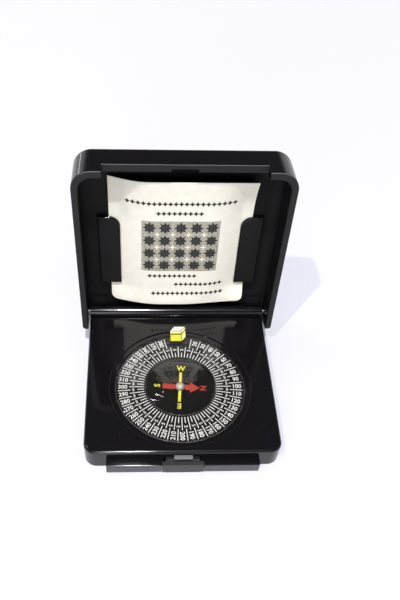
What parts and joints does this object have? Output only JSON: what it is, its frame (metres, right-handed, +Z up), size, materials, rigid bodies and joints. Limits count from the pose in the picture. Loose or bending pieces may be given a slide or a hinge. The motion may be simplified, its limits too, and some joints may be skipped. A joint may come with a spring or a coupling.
{
  "type": "qibla compass",
  "caption": "Folding black pocket compass with a hinged lid, a printed dial under a clear dome, a turning card, a push latch and a booklet clipped in the lid.",
  "frame": {"origin": "on the table, on the bottom plate's underside, under the middle of the base's top plate", "axes": "+Z up, +Y from the latch towards the hinge, +X to the right seen from the latch side"},
  "size_m": [0.075, 0.0817, 0.0784],
  "materials": {
    "case_plastic": "polished black moulded ABS",
    "bottom_plastic": "fine textured black moulded ABS",
    "cup_plastic": "matte black moulded ABS",
    "dial_print": "black printed disc with pale lines and numbers",
    "card_print": "black printed card with a red and yellow arrow",
    "clear_lens": "clear polished acrylic",
    "marker_plastic": "yellow and white film",
    "steel": "turned and drawn steel",
    "hub_metal": "pale polished aluminium",
    "magnet_steel": "dark magnet steel",
    "jewel_stone": "ground synthetic stone",
    "cover_paper": "coated warm white paper with grey print",
    "inner_paper": "thin uncoated paper"
  },
  "bodies": {
    "base": {"base_case": "case_plastic", "bottom_plate": "bottom_plastic", "bottom_screws": "steel", "dial_cup": "cup_plastic", "dial_ring": "dial_print", "dome_lens": "clear_lens", "pivot_pin": "steel", "qibla_marker": "marker_plastic", "latch_spring": "steel"},
    "lid": {"lid_shell": "case_plastic", "hinge_pin_left": "steel", "hinge_pin_right": "steel", "booklet_clip_left": "case_plastic", "booklet_clip_right": "case_plastic", "booklet_back_leaf": "cover_paper", "booklet_inner_leaves": "inner_paper", "booklet_front_leaf": "cover_paper"},
    "card": {"compass_card": "card_print", "card_magnets": "magnet_steel", "hub_cap": "hub_metal", "jewel_bearing": "jewel_stone"},
    "latch": {"latch_button": "case_plastic"}
  },
  "joints": [
    {"name": "lid_hinge", "type": "hinge", "parent": "base", "child": "lid", "pos_m": [0, 0.0337, 0.01], "axis": [1, 0, 0], "range_deg": [0, 95.7]},
    {"name": "card_spin", "type": "hinge", "parent": "base", "child": "card", "pos_m": [0, -0.0028, 0.0079], "axis": [0, 0, 1], "continuous": true},
    {"name": "latch_press", "type": "slide", "parent": "base", "child": "latch", "axis": [0, 1, 0], "range_m": [0, 0.001], "stiffness_N_per_m": 1250, "deforming": ["latch_spring"]}
  ]
}
